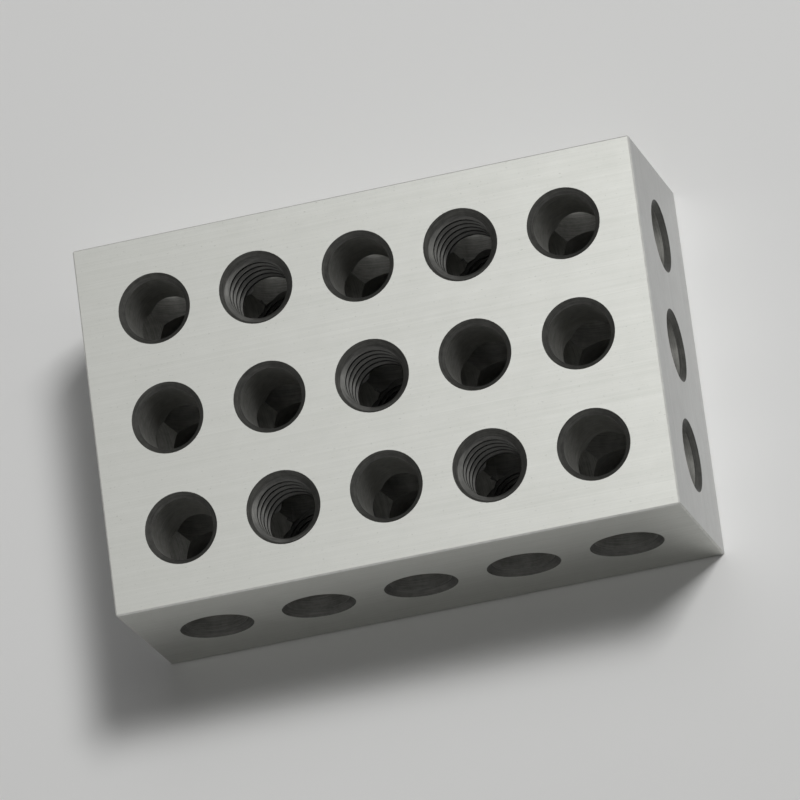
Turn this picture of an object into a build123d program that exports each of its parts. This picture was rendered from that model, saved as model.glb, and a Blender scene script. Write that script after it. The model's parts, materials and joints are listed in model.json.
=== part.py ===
"""Machinist's setup block: one ground steel block, bored through on all three axes.

It lies on its largest face. X runs along its length, Y across its width and Z up
through its thickness, from the middle of the face that it lies on.
"""

import os

from build123d import *

# The ground block
block_length = 76.2
block_width = 50.8
block_thickness = 25.4
edge_break = 0.2

# Grid of holes through the large faces
column_count = 5
row_count = 3
edge_distance = 10.16

# Plain holes
plain_bore_diameter = 8.33
plain_countersink = 0.74

# Tapped holes, bored to the crests of their thread
tapped_bore_diameter = 7.98
tapped_countersink = 1.02

# Both kinds have their mouths countersunk at the same full angle
countersink_angle = 90

# Places of the columns and rows, from the middle of a large face
column_pitch = (block_length - 2 * edge_distance) / (column_count - 1)
row_pitch = (block_width - 2 * edge_distance) / (row_count - 1)
column_places = [(column - (column_count - 1) / 2) * column_pitch for column in range(column_count)]
row_places = [(row - (row_count - 1) / 2) * row_pitch for row in range(row_count)]

# Every second hole of the grid is tapped, like one colour of a chessboard, but none in an end column
tapped_places = []
plain_places = []
for column, x in enumerate(column_places):
    for row, y in enumerate(row_places):
        in_end_column = column in (0, column_count - 1)
        if (column + row) % 2 == 1 and not in_end_column:
            tapped_places.append((x, y))
        else:
            plain_places.append((x, y))

# The six ground faces, each seen from outside, in opposite pairs
large_faces = [
    Plane(origin=(0, 0, block_thickness), x_dir=(1, 0, 0), z_dir=(0, 0, 1)),
    Plane(origin=(0, 0, 0), x_dir=(1, 0, 0), z_dir=(0, 0, -1)),
]
long_sides = [
    Plane(origin=(0, side * block_width / 2, block_thickness / 2), x_dir=(1, 0, 0), z_dir=(0, side, 0))
    for side in (1, -1)
]
end_faces = [
    Plane(origin=(side * block_length / 2, 0, block_thickness / 2), x_dir=(0, 1, 0), z_dir=(side, 0, 0))
    for side in (1, -1)
]

with BuildPart() as setup_block:
    Box(block_length, block_width, block_thickness, align=(Align.CENTER, Align.CENTER, Align.MIN))
    chamfer(setup_block.edges(), edge_break)

    # Plain holes through the large faces
    with Locations(large_faces):
        with Locations(plain_places):
            CounterSinkHole(
                plain_bore_diameter / 2,
                plain_bore_diameter / 2 + plain_countersink,
                counter_sink_angle=countersink_angle,
            )

    # Tapped holes through the large faces
    with Locations(large_faces):
        with Locations(tapped_places):
            CounterSinkHole(
                tapped_bore_diameter / 2,
                tapped_bore_diameter / 2 + tapped_countersink,
                counter_sink_angle=countersink_angle,
            )

    # Plain holes across the width, one under each column
    with Locations(long_sides):
        with Locations([(x, 0) for x in column_places]):
            CounterSinkHole(
                plain_bore_diameter / 2,
                plain_bore_diameter / 2 + plain_countersink,
                counter_sink_angle=countersink_angle,
            )

    # Plain holes along the length, one under each row
    with Locations(end_faces):
        with Locations([(y, 0) for y in row_places]):
            CounterSinkHole(
                plain_bore_diameter / 2,
                plain_bore_diameter / 2 + plain_countersink,
                counter_sink_angle=countersink_angle,
            )

setup_block.part.label = "setup_block"

os.makedirs("parts", exist_ok=True)
export_step(setup_block.part, "parts/setup_block.step")
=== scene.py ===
"""Finishes the machinist's setup block and lights it.

The block is one ground steel piece. Its tapped holes get real helical threads here, cut into a
copy of the modelled block, and each kind of face gets the finish that its machining leaves.
All lengths are in metres, in the model's own frame.
"""

import json
import logging
import math
from dataclasses import dataclass, field
from enum import Enum

import bmesh
import bpy
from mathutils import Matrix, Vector

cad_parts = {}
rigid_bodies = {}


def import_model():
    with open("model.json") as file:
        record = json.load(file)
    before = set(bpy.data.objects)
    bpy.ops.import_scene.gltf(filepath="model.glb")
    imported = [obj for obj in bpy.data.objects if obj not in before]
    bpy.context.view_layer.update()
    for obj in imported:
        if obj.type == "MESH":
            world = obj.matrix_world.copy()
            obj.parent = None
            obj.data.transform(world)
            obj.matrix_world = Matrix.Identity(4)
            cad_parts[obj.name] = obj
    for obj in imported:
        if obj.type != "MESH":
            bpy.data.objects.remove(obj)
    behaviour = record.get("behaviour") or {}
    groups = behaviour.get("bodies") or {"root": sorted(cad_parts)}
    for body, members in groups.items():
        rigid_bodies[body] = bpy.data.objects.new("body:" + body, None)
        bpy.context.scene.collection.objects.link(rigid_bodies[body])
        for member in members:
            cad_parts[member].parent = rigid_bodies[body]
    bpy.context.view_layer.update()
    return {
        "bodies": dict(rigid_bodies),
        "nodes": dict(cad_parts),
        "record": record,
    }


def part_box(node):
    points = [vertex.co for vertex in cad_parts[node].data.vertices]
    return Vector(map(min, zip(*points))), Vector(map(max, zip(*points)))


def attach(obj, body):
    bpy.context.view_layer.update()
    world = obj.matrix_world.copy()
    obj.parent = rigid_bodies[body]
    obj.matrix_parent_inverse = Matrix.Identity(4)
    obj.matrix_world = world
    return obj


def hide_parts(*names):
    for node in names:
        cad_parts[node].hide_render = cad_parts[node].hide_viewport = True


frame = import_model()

BODY = "root"
NODE = "setup_block"
MM = 0.001
INCH = 25.4 * MM

# A colour with its alpha, the two ends of a range, and a point or a way in space
Colour = tuple[float, float, float, float]
Span = tuple[float, float]
Point = tuple[float, float, float]

# What goes into a node's sockets, by name or number: another node's output or a plain value
Inputs = dict[str | int, object]

WHITE: Colour = (1.0, 1.0, 1.0, 1.0)

log = logging.getLogger("setup_block")


class Across(Enum):
    """The axis that a face's machining marks lie along, or that a bore runs along."""

    X = 0
    Y = 1
    Z = 2


@dataclass(frozen=True)
class Grain:
    """How far a noise pattern breaks up into finer ones, and how much of them it keeps."""

    detail: float
    roughness: float = 0.5


class Nodes:
    """A short way to add and join the nodes of one tree."""

    # Sockets of the Mix node when it mixes colours
    FACTOR, FIRST, SECOND, RESULT = 0, 6, 7, 2

    def __init__(self, tree: bpy.types.NodeTree) -> None:
        """Empties the node tree of a material, a world or a group, and starts on it."""
        self.tree = tree
        tree.nodes.clear()

    def feed(self, node: bpy.types.Node, inputs: Inputs) -> None:
        """Links or sets a node's inputs.

        Args:
            node: The node.
            inputs: What goes into each socket.
        """
        for key, value in inputs.items():
            if isinstance(value, bpy.types.NodeSocket):
                self.tree.links.new(value, node.inputs[key])
            else:
                node.inputs[key].default_value = value

    def add(self, kind: str, inputs: Inputs | None = None, **settings: object) -> bpy.types.Node:
        """Adds one node.

        Args:
            kind: The node's type name.
            inputs: What goes into each socket.
            **settings: The node's own properties.

        Returns:
            The new node.
        """
        node = self.tree.nodes.new(kind)
        for name, value in settings.items():
            setattr(node, name, value)
        self.feed(node, inputs or {})
        return node

    def math(self, operation: str, first: object, second: object) -> bpy.types.NodeSocket:
        """Works out one operation on two numbers or sockets."""
        return self.add("ShaderNodeMath", {0: first, 1: second}, operation=operation).outputs[0]

    def weigh(self, *shares: tuple[bpy.types.NodeSocket, float]) -> bpy.types.NodeSocket:
        """Adds values up, each by its share.

        Args:
            *shares: The values, each with its share.

        Returns:
            The sum.
        """
        parts = [self.math("MULTIPLY", value, share) for value, share in shares]
        total = parts[0]
        for part in parts[1:]:
            total = self.math("ADD", total, part)
        return total

    def remap(self, value: object, span: Span, onto: Span = (0.0, 1.0)) -> bpy.types.NodeSocket:
        """Maps one span of values onto another and holds the result inside it."""
        inputs = {0: value, 1: span[0], 2: span[1], 3: onto[0], 4: onto[1]}
        return self.add("ShaderNodeMapRange", inputs).outputs[0]

    def mix(self, factor: object, first: object, second: object) -> bpy.types.NodeSocket:
        """Mixes two colours.

        Args:
            factor: How much of the second colour there is.
            first: The first colour or socket.
            second: The second colour or socket.

        Returns:
            The mixed colour.
        """
        node = self.add("ShaderNodeMix", data_type="RGBA")
        self.feed(node, {self.FACTOR: factor, self.FIRST: first, self.SECOND: second})
        return node.outputs[self.RESULT]

    def noise(self, vector: object, scale: object, grain: Grain) -> bpy.types.NodeSocket:
        """Gives a pattern that is a half on average and has this many features to a metre."""
        inputs = {"Vector": vector, "Scale": scale, "Detail": grain.detail, "Roughness": grain.roughness}
        return self.add("ShaderNodeTexNoise", inputs).outputs[0]

    def bump(self, height: bpy.types.NodeSocket, distance: float) -> bpy.types.NodeSocket:
        """Gives the normal of a relief that stands out by this distance where its value is one."""
        inputs = {"Height": height, "Distance": distance, "Strength": 1.0}
        return self.add("ShaderNodeBump", inputs).outputs[0]

    def effect(self, group: bpy.types.NodeTree, **inputs: object) -> bpy.types.bpy_prop_collection:
        """Places one of the shared effects and gives its outputs, by name."""
        return self.add("ShaderNodeGroup", inputs, node_tree=group).outputs

    def stretched(self, axis: Across, along: float = 1.0) -> bpy.types.NodeSocket:
        """Gives the object's own coordinates, drawn out along one axis.

        Args:
            axis: The axis to draw the pattern out along.
            along: How many times longer the pattern is that way; under one it is shorter.

        Returns:
            The coordinates.
        """
        place = self.add("ShaderNodeTexCoord").outputs["Object"]
        scale = [1.0, 1.0, 1.0]
        scale[axis.value] = 1.0 / along
        return self.add("ShaderNodeMapping", {"Vector": place, "Scale": scale}).outputs[0]


class Effects:
    """The surface effects that the finishes share, each built once."""

    FLOAT = "NodeSocketFloat"
    VECTOR = "NodeSocketVector"

    # Straight marks: fine lines, and bands that are several lines wide
    LINES = Grain(3.0, 0.65)
    BANDS = Grain(2.0)
    LINES_TO_A_BAND = 7.0

    # Soft clouding, and small specks where a finer pattern peaks
    CLOUDS = Grain(4.0, 0.6)
    SPECKS = Grain(2.0)
    SPECKS_TO_A_CLOUD = 9.0
    SPECK_SPAN = (0.66, 0.76)

    # Hardening film: patches of it, and its own fine bumps
    PATCHES = Grain(5.0, 0.62)
    PATCH_SPAN = (0.36, 0.64)
    BUMPS = Grain(2.0)
    BUMPS_TO_A_PATCH = 12.0

    def __init__(self) -> None:
        """Builds the three groups."""
        self.lay = self.build_lay()
        self.mottle = self.build_mottle()
        self.scale = self.build_scale()

    def start(self, name: str, size: str, outputs: tuple[str, str]) -> tuple[bpy.types.NodeTree, Nodes]:
        """Starts a group with a Vector, one size and two outputs.

        Args:
            name: The group's name.
            size: The name of its size.
            outputs: The names of its outputs.

        Returns:
            The group and the means to fill it.
        """
        group = bpy.data.node_groups.new(name, "ShaderNodeTree")
        group.interface.new_socket(name="Vector", in_out="INPUT", socket_type=self.VECTOR)
        group.interface.new_socket(name=size, in_out="INPUT", socket_type=self.FLOAT)
        for output in outputs:
            group.interface.new_socket(name=output, in_out="OUTPUT", socket_type=self.FLOAT)
        return group, Nodes(group)

    def build_lay(self) -> bpy.types.NodeTree:
        """Builds the fine straight marks that a wheel or a cutter leaves.

        Returns:
            The group, which puts out fine Lines and broader Bands.
        """
        group, nodes = self.start("Machining Lay", "Width", ("Lines", "Bands"))
        given = nodes.add("NodeGroupInput").outputs
        fine = nodes.math("DIVIDE", 1.0, given["Width"])
        broad = nodes.math("DIVIDE", fine, self.LINES_TO_A_BAND)
        lines = nodes.noise(given["Vector"], fine, self.LINES)
        bands = nodes.noise(given["Vector"], broad, self.BANDS)
        nodes.add("NodeGroupOutput", {"Lines": lines, "Bands": bands})
        return group

    def build_mottle(self) -> bpy.types.NodeTree:
        """Builds the soft clouding and the specks that a ground face shows.

        Returns:
            The group, which puts out Clouds and small Specks.
        """
        group, nodes = self.start("Soft Mottle", "Size", ("Clouds", "Specks"))
        given = nodes.add("NodeGroupInput").outputs
        broad = nodes.math("DIVIDE", 1.0, given["Size"])
        fine = nodes.math("MULTIPLY", broad, self.SPECKS_TO_A_CLOUD)
        clouds = nodes.noise(given["Vector"], broad, self.CLOUDS)
        specks = nodes.remap(nodes.noise(given["Vector"], fine, self.SPECKS), self.SPECK_SPAN)
        nodes.add("NodeGroupOutput", {"Clouds": clouds, "Specks": specks})
        return group

    def build_scale(self) -> bpy.types.NodeTree:
        """Builds the uneven dark film that hardening leaves in a hole.

        Returns:
            The group, which puts out a Film mask and a Height.
        """
        group, nodes = self.start("Hardening Scale", "Size", ("Film", "Height"))
        given = nodes.add("NodeGroupInput").outputs
        broad = nodes.math("DIVIDE", 1.0, given["Size"])
        fine = nodes.math("MULTIPLY", broad, self.BUMPS_TO_A_PATCH)
        film = nodes.remap(nodes.noise(given["Vector"], broad, self.PATCHES), self.PATCH_SPAN)
        height = nodes.noise(given["Vector"], fine, self.BUMPS)
        nodes.add("NodeGroupOutput", {"Film": film, "Height": height})
        return group


@dataclass(frozen=True)
class GroundFinish:
    """A surface-ground steel face, with its marks lying along one axis."""

    name: str
    lay: Across
    bright: Colour = (0.525, 0.530, 0.502, 1.0)
    dull: Colour = (0.445, 0.450, 0.422, 1.0)
    pit: Colour = (0.300, 0.300, 0.280, 1.0)
    roughness: Span = (0.31, 0.41)
    line_width: float = 0.08 * MM
    line_stretch: float = 240.0
    cloud_size: float = 2.6 * MM
    cloud_stretch: float = 1.6
    mark_height: float = 0.006 * MM
    cloud_share: float = 0.30
    band_share: float = 0.25
    line_share: float = 0.45
    pit_share: float = 0.55
    colour_span: Span = (0.34, 0.66)
    roughness_span: Span = (0.30, 0.70)

    @classmethod
    def lengthwise(cls) -> "GroundFinish":
        """Gives the finish of the large faces and the long sides."""
        return cls("ground lengthwise", Across.X)

    @classmethod
    def crosswise(cls) -> "GroundFinish":
        """Gives the finish of the end faces, with a painted reflection tint."""
        return cls(
            "ground crosswise",
            Across.Y,
            # The end faces carry a cooler, more neutral tint than the other faces: a painted reflection
            # tint, not a difference in the steel.
            bright=(0.530, 0.533, 0.527, 1.0),
            dull=(0.450, 0.453, 0.447, 1.0),
        )

    def build(self, effects: Effects) -> bpy.types.Material:
        """Makes the material.

        Args:
            effects: The shared effects.

        Returns:
            The material.
        """
        material, nodes = new_material(self.name)
        marks = nodes.effect(
            effects.lay, Vector=nodes.stretched(self.lay, self.line_stretch), Width=self.line_width
        )
        mottle = nodes.effect(
            effects.mottle, Vector=nodes.stretched(self.lay, self.cloud_stretch), Size=self.cloud_size
        )
        tone = nodes.weigh(
            (marks["Bands"], self.band_share),
            (marks["Lines"], self.line_share),
            (mottle["Clouds"], self.cloud_share),
        )
        steel = nodes.mix(nodes.remap(tone, self.colour_span), self.bright, self.dull)
        pits = nodes.math("MULTIPLY", mottle["Specks"], self.pit_share)
        colour = nodes.mix(pits, steel, self.pit)
        rough = nodes.remap(tone, self.roughness_span, self.roughness)
        finish_steel(nodes, colour, rough, nodes.bump(marks["Lines"], self.mark_height))
        return material


@dataclass(frozen=True)
class EdgeFinish:
    """The narrow flats that are stoned along every outer edge, a little lighter as a painted highlight.
    """

    name: str
    # The edge flats sit a little lighter than the ground faces: a painted highlight along the edges, on
    # top of the light the chamfers really catch.
    bright: Colour = (0.56, 0.56, 0.54, 1.0)
    dull: Colour = (0.48, 0.48, 0.46, 1.0)
    roughness: Span = (0.58, 0.68)
    cloud_size: float = 1.4 * MM
    colour_span: Span = (0.35, 0.65)
    roughness_span: Span = (0.30, 0.70)

    def build(self, effects: Effects) -> bpy.types.Material:
        """Makes the material.

        Args:
            effects: The shared effects.

        Returns:
            The material.
        """
        material, nodes = new_material(self.name)
        mottle = nodes.effect(effects.mottle, Vector=nodes.stretched(Across.Z), Size=self.cloud_size)
        colour = nodes.mix(nodes.remap(mottle["Clouds"], self.colour_span), self.bright, self.dull)
        rough = nodes.remap(mottle["Clouds"], self.roughness_span, self.roughness)
        finish_steel(nodes, colour, rough)
        return material


@dataclass(frozen=True)
class DarkFinish:
    """Steel under the dark film of hardening, with the marks of a drill, a countersink or a tap."""

    name: str
    bore: Across
    # The plain bores' film and bare colours sit lighter than the countersinks' and the thread's: partly
    # the film's own tone, partly painted light that lifts the deep walls of the holes.
    film: Colour = (0.170, 0.170, 0.158, 1.0)
    bare: Colour = (0.325, 0.323, 0.301, 1.0)
    metallic: float = 0.60
    roughness: Span = (0.56, 0.72)
    ring_width: float = 0.12 * MM
    ring_squeeze: float = 1.0 / 30.0
    ring_height: float = 0.010 * MM
    patch_size: float = 0.9 * MM
    patch_share: float = 0.35
    ring_share: float = 0.65
    ring_rise: float = 0.8
    patch_rise: float = 0.2
    ring_span: Span = (0.35, 0.65)
    roughness_span: Span = (0.30, 0.70)

    @classmethod
    def bored(cls, across: Across) -> "DarkFinish":
        """Gives the finish of a plain bore along one axis: the film's own dark tone, lightened by
        painted light on the deep walls.
        """
        return cls(f"bore along {across.name}", across)

    @classmethod
    def countersunk(cls, across: Across) -> "DarkFinish":
        """Gives the darker finish of a countersunk mouth along one axis."""
        return cls(
            f"countersink along {across.name}",
            across,
            film=(0.038, 0.038, 0.035, 1.0),
            bare=(0.094, 0.093, 0.086, 1.0),
            metallic=0.80,
            roughness=(0.44, 0.60),
        )

    @classmethod
    def tapped(cls) -> "DarkFinish":
        """Gives the finish of a cut thread."""
        return cls(
            "cut thread",
            Across.Z,
            film=(0.060, 0.060, 0.056, 1.0),
            bare=(0.120, 0.119, 0.111, 1.0),
            roughness=(0.30, 0.46),
        )

    def build(self, effects: Effects) -> bpy.types.Material:
        """Makes the material.

        Args:
            effects: The shared effects.

        Returns:
            The material.
        """
        material, nodes = new_material(self.name)
        rings = nodes.effect(
            effects.lay,
            Vector=nodes.stretched(self.bore, self.ring_squeeze),
            Width=self.ring_width / self.ring_squeeze,
        )
        scale = nodes.effect(effects.scale, Vector=nodes.stretched(self.bore), Size=self.patch_size)
        cover = nodes.weigh(
            (scale["Film"], self.patch_share),
            (nodes.remap(rings["Lines"], self.ring_span), self.ring_share),
        )
        colour = nodes.mix(cover, self.bare, self.film)
        rough = nodes.remap(scale["Height"], self.roughness_span, self.roughness)
        height = nodes.weigh((rings["Lines"], self.ring_rise), (scale["Height"], self.patch_rise))
        finish_steel(nodes, colour, rough, nodes.bump(height, self.ring_height), self.metallic)
        return material


def new_material(name: str) -> tuple[bpy.types.Material, Nodes]:
    """Starts a material.

    Args:
        name: The material's name.

    Returns:
        The material and the means to fill it.
    """
    material = bpy.data.materials.new(name)
    material.use_nodes = True
    return material, Nodes(material.node_tree)


def finish_steel(
    nodes: Nodes,
    colour: bpy.types.NodeSocket,
    rough: bpy.types.NodeSocket,
    normal: bpy.types.NodeSocket | None = None,
    metallic: float = 1.0,
) -> None:
    """Ends a material in steel.

    Args:
        nodes: The material's nodes.
        colour: Its colour.
        rough: Its roughness.
        normal: Its bumped normal, if it has one.
        metallic: One for bare metal, and less under a film.
    """
    inputs = {"Base Color": colour, "Roughness": rough, "Metallic": metallic}
    if normal is not None:
        inputs["Normal"] = normal
    shader = nodes.add("ShaderNodeBsdfPrincipled", inputs)
    nodes.add("ShaderNodeOutputMaterial", {"Surface": shader.outputs[0]})


class Face(Enum):
    """The kinds of face on the block, in the order of its material slots."""

    GROUND_LENGTHWISE = 0
    GROUND_CROSSWISE = 1
    EDGE = 2
    COUNTERSINK_X = 3
    COUNTERSINK_Y = 4
    COUNTERSINK_Z = 5
    BORE_X = 6
    BORE_Y = 7
    BORE_Z = 8
    THREAD = 9


COUNTERSINKS = {Across.X: Face.COUNTERSINK_X, Across.Y: Face.COUNTERSINK_Y, Across.Z: Face.COUNTERSINK_Z}
BORES = {Across.X: Face.BORE_X, Across.Y: Face.BORE_Y, Across.Z: Face.BORE_Z}

# Shading that the copied mesh brings along and that no longer fits once it is tapped
STALE_SHADING = ("custom_normal", "sharp_face")


@dataclass
class Thread:
    """A coarse 60 degree thread of 3/8 inch, cut into a tapped hole.

    The bore is already as wide as the thread's crests, and the cutter starts a little inside it.
    """

    turns_per_inch: int = 16
    major_radius: float = 3 / 8 * INCH / 2
    inner_radius: float = 3.70 * MM
    flank_angle: float = math.radians(30)
    root_share: float = 1 / 16
    spare_turns: int = 1
    steps_per_turn: int = 60

    @property
    def pitch(self) -> float:
        """The way from one turn to the next."""
        return INCH / self.turns_per_inch

    def groove(self, place: Vector, height: float) -> bpy.types.Object:
        """Makes the solid spiral that the tap takes away.

        Args:
            place: The hole's middle on the face that the block lies on.
            height: The hole's length.

        Returns:
            The spiral, longer than the hole by its spare turns at each end.
        """
        root = self.pitch * self.root_share
        mouth = root + (self.major_radius - self.inner_radius) * math.tan(self.flank_angle)
        bm = bmesh.new()
        corners = [
            bm.verts.new((radius, 0.0, side))
            for radius, side in (
                (self.inner_radius, -mouth),
                (self.major_radius, -root),
                (self.major_radius, root),
                (self.inner_radius, mouth),
            )
        ]
        bm.faces.new(corners)
        turns = math.ceil(height / self.pitch) + 2 * self.spare_turns
        bmesh.ops.spin(
            bm,
            geom=bm.verts[:] + bm.edges[:] + bm.faces[:],
            cent=(0.0, 0.0, 0.0),
            axis=(0.0, 0.0, 1.0),
            dvec=(0.0, 0.0, self.pitch / self.steps_per_turn),
            angle=math.tau * turns,
            steps=turns * self.steps_per_turn,
            use_duplicate=False,
        )
        bmesh.ops.recalc_face_normals(bm, faces=bm.faces[:])
        start = place - Vector((0.0, 0.0, self.spare_turns * self.pitch))
        bmesh.ops.translate(bm, verts=bm.verts[:], vec=start)
        mesh = bpy.data.meshes.new("thread groove")
        bm.to_mesh(mesh)
        bm.free()
        groove = bpy.data.objects.new("thread groove", mesh)
        bpy.context.scene.collection.objects.link(groove)
        return groove


@dataclass
class SetupBlock:
    """The block itself: its faces, its grid of holes and their threads."""

    length: float
    width: float
    thickness: float
    column_pitch: float
    row_pitch: float
    plain_radius: float
    thread: Thread = field(default_factory=Thread)
    merge_distance: float = 0.0005 * MM
    crisp_angle: float = math.radians(24)
    near: float = 0.002 * MM
    wall_slack: float = 0.03 * MM
    edge_width: float = 0.40 * MM
    mouth_depth: float = 1.10 * MM
    square_on: float = 0.99
    slant: Span = (0.64, 0.78)

    @classmethod
    def from_frame(cls) -> "SetupBlock":
        """Takes the sizes from the model's box and its stated mounts.

        Returns:
            The block.
        """
        low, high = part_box(NODE)
        mounts = {mount["name"]: mount["dims"] for mount in frame["record"]["mounts"]}
        size = high - low
        return cls(
            length=size.x,
            width=size.y,
            thickness=size.z,
            column_pitch=mounts["tapped_corners"]["spacing_x_mm"] * MM / 2,
            row_pitch=mounts["tapped_corners"]["spacing_y_mm"] * MM / 2,
            plain_radius=mounts["cross_center"]["r_mm"] * MM,
        )

    @property
    def tapped_places(self) -> list[Vector]:
        """The tapped holes' middles: a centre and four around it."""
        x, y = self.column_pitch, self.row_pitch
        return [Vector((i * x, j * y, 0.0)) for i, j in ((0, 0), (1, 1), (1, -1), (-1, 1), (-1, -1))]

    def copy(self) -> bpy.types.Object:
        """Copies the modelled block and joins its loose triangles.

        Returns:
            The copy.
        """
        bm = bmesh.new()
        bm.from_mesh(frame["nodes"][NODE].data)
        bmesh.ops.remove_doubles(bm, verts=bm.verts[:], dist=self.merge_distance)
        loose = [v for v in bm.verts if not v.link_faces]
        bmesh.ops.delete(bm, geom=loose, context="VERTS")
        open_edges = sum(not edge.is_manifold for edge in bm.edges)
        log.info("copy has %d faces and %d open edges", len(bm.faces), open_edges)
        mesh = bpy.data.meshes.new("machined block")
        bm.to_mesh(mesh)
        bm.free()
        block = bpy.data.objects.new("machined_block", mesh)
        bpy.context.scene.collection.objects.link(block)
        return block

    def tap(self, block: bpy.types.Object) -> None:
        """Cuts the thread into each tapped hole.

        Args:
            block: The block's copy.
        """
        for place in self.tapped_places:
            groove = self.thread.groove(place, self.thickness)
            cut = block.modifiers.new("tap", "BOOLEAN")
            cut.operation = "DIFFERENCE"
            cut.solver = "MANIFOLD"
            cut.object = groove
            mesh = bpy.data.meshes.new_from_object(
                block.evaluated_get(bpy.context.evaluated_depsgraph_get())
            )
            block.modifiers.clear()
            old, block.data = block.data, mesh
            bpy.data.meshes.remove(old)
            bpy.data.objects.remove(groove)
            log.info("tapped at %.2f, %.2f mm: %d faces", place.x / MM, place.y / MM, len(mesh.polygons))

    def from_axis(self, point: Vector, across: Across) -> Vector:
        """Gives the way to a point from the nearest hole axis that runs along one direction.

        Args:
            point: The point.
            across: The direction that the holes run in.

        Returns:
            The way, square to that direction.
        """
        way = point - Vector((0.0, 0.0, self.thickness / 2))
        for index, pitch in enumerate((self.column_pitch, self.row_pitch)):
            way[index] -= round(way[index] / pitch) * pitch
        way[across.value] = 0.0
        return way

    def lines_bore(self, centre: Vector, normal: Vector, across: Across) -> bool:
        """Tells whether a face is part of a plain bore's wall.

        Args:
            centre: The face's middle.
            normal: Its outward normal.
            across: The direction that the bore runs in.

        Returns:
            Whether it is.
        """
        way = self.from_axis(centre, across)
        on_wall = abs(way.length - self.plain_radius) < self.wall_slack
        return on_wall and normal.dot(way.normalized()) < -self.square_on

    def kind_of(self, centre: Vector, normal: Vector) -> Face:
        """Tells what kind of face this is.

        Args:
            centre: The face's middle.
            normal: Its outward normal.

        Returns:
            The kind.
        """
        depths = (
            self.length / 2 - abs(centre.x),
            self.width / 2 - abs(centre.y),
            min(centre.z, self.thickness - centre.z),
        )
        for across in Across:
            if depths[across.value] < self.near and abs(normal[across.value]) > self.square_on:
                return Face.GROUND_CROSSWISE if across is Across.X else Face.GROUND_LENGTHWISE
        if sum(depth < self.edge_width for depth in depths) > 1:
            return Face.EDGE
        low, high = self.slant
        for across in Across:
            if depths[across.value] < self.mouth_depth and low < abs(normal[across.value]) < high:
                return COUNTERSINKS[across]
        for across in (Across.X, Across.Y):
            if self.lines_bore(centre, normal, across):
                return BORES[across]
        reach = self.thread.major_radius + self.near
        tapped = any((centre.xy - place.xy).length < reach for place in self.tapped_places)
        return Face.THREAD if tapped else Face.BORE_Z

    def sort_faces(self, block: bpy.types.Object) -> None:
        """Gives every face its material slot and marks the crisp edges.

        Args:
            block: The tapped block.
        """
        bm = bmesh.new()
        bm.from_mesh(block.data)
        counts = dict.fromkeys(Face, 0)
        for face in bm.faces:
            kind = self.kind_of(face.calc_center_median(), face.normal)
            face.material_index = kind.value
            face.smooth = True
            counts[kind] += 1
        for edge in bm.edges:
            edge.smooth = edge.is_manifold and edge.calc_face_angle(math.pi) < self.crisp_angle
        open_edges = sum(not edge.is_manifold for edge in bm.edges)
        bm.to_mesh(block.data)
        bm.free()
        log.info("faces by kind %s, open edges %d", {k.name: n for k, n in counts.items()}, open_edges)

    def dress(self, block: bpy.types.Object, effects: Effects) -> None:
        """Fills the block's material slots.

        Args:
            block: The tapped block.
            effects: The shared effects.
        """
        finishes = {
            Face.GROUND_LENGTHWISE: GroundFinish.lengthwise(),
            Face.GROUND_CROSSWISE: GroundFinish.crosswise(),
            Face.EDGE: EdgeFinish("stoned edge"),
            Face.THREAD: DarkFinish.tapped(),
        }
        for across in Across:
            finishes[BORES[across]] = DarkFinish.bored(across)
            finishes[COUNTERSINKS[across]] = DarkFinish.countersunk(across)
        block.data.materials.clear()
        for kind in Face:
            block.data.materials.append(finishes[kind].build(effects))

    def build(self, effects: Effects) -> bpy.types.Object:
        """Makes the finished block.

        Args:
            effects: The shared effects.

        Returns:
            The block, in place of the modelled one.
        """
        block = self.copy()
        self.tap(block)
        self.dress(block, effects)
        self.sort_faces(block)
        for name in STALE_SHADING:
            if name in block.data.attributes:
                block.data.attributes.remove(block.data.attributes[name])
        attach(block, BODY)
        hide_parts(NODE)
        return block


@dataclass(frozen=True)
class Lamp:
    """A soft oblong lamp that faces the block."""

    name: str
    place: Point
    width: float
    depth: float
    power: float

    def build(self) -> bpy.types.Object:
        """Makes the lamp.

        Returns:
            The lamp.
        """
        data = bpy.data.lights.new(self.name, "AREA")
        data.shape = "RECTANGLE"
        data.size, data.size_y = self.width, self.depth
        data.energy = self.power
        lamp = bpy.data.objects.new(self.name, data)
        lamp.location = self.place
        lamp.rotation_mode = "QUATERNION"
        lamp.rotation_quaternion = (-Vector(self.place)).to_track_quat("-Z", "Y")
        bpy.context.scene.collection.objects.link(lamp)
        return lamp


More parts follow.
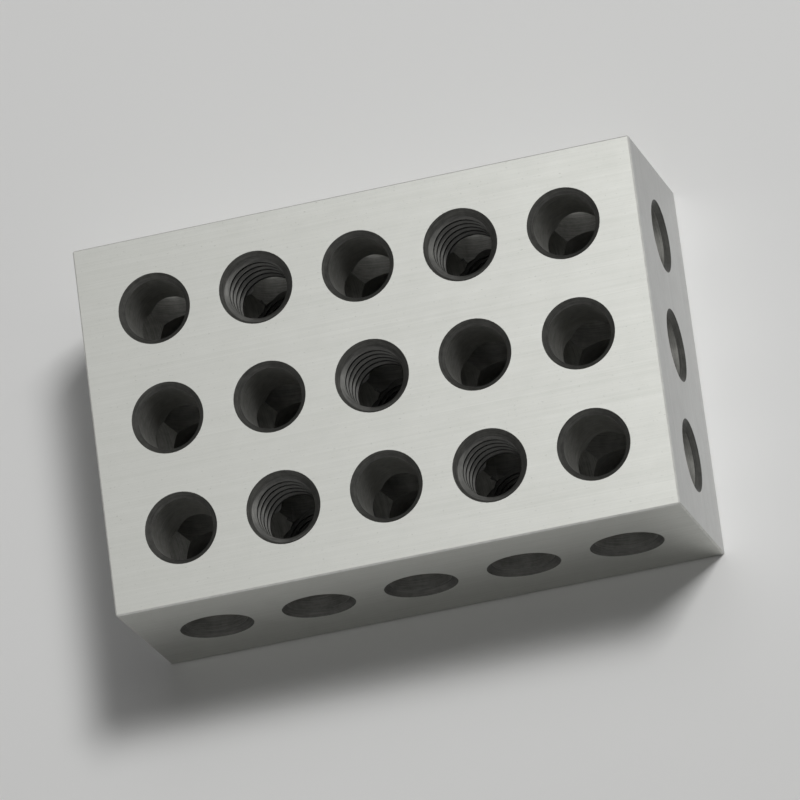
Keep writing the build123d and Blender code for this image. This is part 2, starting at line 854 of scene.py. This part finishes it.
@dataclass
class Studio:
    """The pale floor, the soft lamps and the surroundings."""

    floor_size: float = 6.0
    floor_colour: Colour = (0.82, 0.82, 0.81, 1.0)
    floor_roughness: float = 0.75
    window: Lamp = Lamp("window", (0.89, 0.68, 2.00), 0.5, 0.5, 27.2)
    overhead: Lamp = Lamp("overhead", (0.12, 0.190, 0.53), 0.42, 0.34, 0.52)
    ambient: float = 0.07
    backdrop: float = 0.66

    def build_floor(self) -> bpy.types.Object:
        """Makes the floor.

        Returns:
            The floor.
        """
        bm = bmesh.new()
        bmesh.ops.create_grid(bm, x_segments=1, y_segments=1, size=self.floor_size / 2)
        mesh = bpy.data.meshes.new("floor")
        bm.to_mesh(mesh)
        bm.free()
        floor = bpy.data.objects.new("floor", mesh)
        bpy.context.scene.collection.objects.link(floor)
        material, nodes = new_material("pale floor")
        inputs = {"Base Color": self.floor_colour, "Roughness": self.floor_roughness}
        shader = nodes.add("ShaderNodeBsdfPrincipled", inputs)
        nodes.add("ShaderNodeOutputMaterial", {"Surface": shader.outputs[0]})
        mesh.materials.append(material)
        return floor

    def build_world(self) -> bpy.types.World:
        """Makes the surroundings: pale where they are seen or mirrored, and dim as a light.

        Returns:
            The world.
        """
        world = bpy.data.worlds.new("studio")
        world.use_nodes = True
        nodes = Nodes(world.node_tree)
        path = nodes.add("ShaderNodeLightPath").outputs
        mirrored = nodes.math("MAXIMUM", path["Is Glossy Ray"], path["Is Transmission Ray"])
        seen = nodes.math("MAXIMUM", path["Is Camera Ray"], mirrored)
        strength = nodes.remap(seen, (0.0, 1.0), (self.ambient, self.backdrop))
        background = nodes.add("ShaderNodeBackground", {"Color": WHITE, "Strength": strength})
        nodes.add("ShaderNodeOutputWorld", {"Surface": background.outputs[0]})
        bpy.context.scene.world = world
        return world

    def build(self) -> None:
        """Makes everything around the block."""
        self.build_floor()
        self.window.build()
        self.overhead.build()
        self.build_world()
        bpy.context.scene.view_settings.view_transform = "Standard"


@dataclass
class Viewpoint:
    """Where the photograph was taken from, brought nearer by a longer lens."""

    place: Point = (0.24875, -0.36803, 1.10116)
    aim: Point = (0.00040, 0.00024, 0.0127)
    up: Point = (0.1977, 0.9386, 0.2827)
    sensor: float = 36.0
    lens: float = 402.3
    sight: Span = (0.01, 100.0)

    def build(self) -> bpy.types.Object:
        """Makes the camera.

        Returns:
            The camera, which the scene now uses.
        """
        data = bpy.data.cameras.new("camera")
        data.sensor_width = self.sensor
        data.lens = self.lens
        data.clip_start, data.clip_end = self.sight
        camera = bpy.data.objects.new("camera", data)
        bpy.context.scene.collection.objects.link(camera)
        back = (Vector(self.place) - Vector(self.aim)).normalized()
        right = Vector(self.up).cross(back).normalized()
        up = back.cross(right)
        turn = camera.matrix_world.to_3x3()
        turn.col[0], turn.col[1], turn.col[2] = right, up, back
        camera.matrix_world = turn.to_4x4()
        camera.location = self.place
        bpy.context.scene.camera = camera
        return camera


def clear_defaults() -> None:
    """Removes whatever Blender starts with that isn't part of the model."""
    kept = set(frame["nodes"].values()) | set(frame["bodies"].values())
    for thing in [o for o in bpy.data.objects if o not in kept]:
        bpy.data.objects.remove(thing)


def main() -> None:
    """Builds the block and its studio, in order."""
    logging.basicConfig(level=logging.INFO, format="%(name)s: %(message)s")
    clear_defaults()
    effects = Effects()
    block = SetupBlock.from_frame().build(effects)
    log.info("%s has %d faces", block.name, len(block.data.polygons))
    Studio().build()
    Viewpoint().build()


if __name__ == "__main__":
    main()
